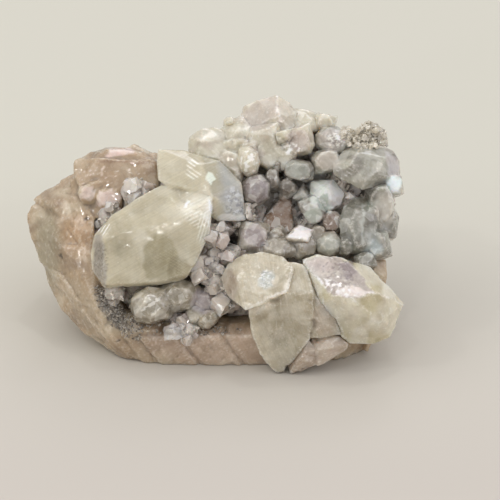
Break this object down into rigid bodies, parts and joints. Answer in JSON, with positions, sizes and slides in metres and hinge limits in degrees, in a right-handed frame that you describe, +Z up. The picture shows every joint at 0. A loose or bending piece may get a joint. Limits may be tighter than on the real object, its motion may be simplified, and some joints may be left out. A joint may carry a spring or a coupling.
{
  "type": "stilbite specimen",
  "caption": "Tan stilbite with pale glassy crystals on a grey drusy matrix, cut off flat underneath so that it rests on a shelf.",
  "frame": {"origin": "on the flat cut face that the specimen rests on, under the middle of the specimen", "axes": "+Z up from the cut face, +X to the right along the specimen's length as the picture shows it, -Y towards the viewer"},
  "size_m": [0.0762, 0.0484, 0.0436],
  "materials": {
    "stilbite_sheaf": "satin, with a pearly face",
    "druse_matrix": "rough and sparkling",
    "great_blade": "glassy, milky inside",
    "oval_crystals": "glassy",
    "front_left_crystal": "glassy, milky inside",
    "front_right_crystal": "glassy, milky inside",
    "foot_crystals": "glassy",
    "middle_crystals": "glassy",
    "pocket_crystals": "glassy",
    "right_edge_crystals": "glassy",
    "shoulder_crystals": "glassy",
    "summit_crystals": "glassy, milky inside",
    "back_crystals": "glassy, milky inside"
  },
  "bodies": {
    "root": {"stilbite_sheaf": "stilbite_sheaf", "druse_matrix": "druse_matrix", "great_blade": "great_blade", "oval_crystals": "oval_crystals", "front_left_crystal": "front_left_crystal", "front_right_crystal": "front_right_crystal", "foot_crystals": "foot_crystals", "middle_crystals": "middle_crystals", "pocket_crystals": "pocket_crystals", "right_edge_crystals": "right_edge_crystals", "shoulder_crystals": "shoulder_crystals", "summit_crystals": "summit_crystals", "back_crystals": "back_crystals"}
  },
  "joints": []
}
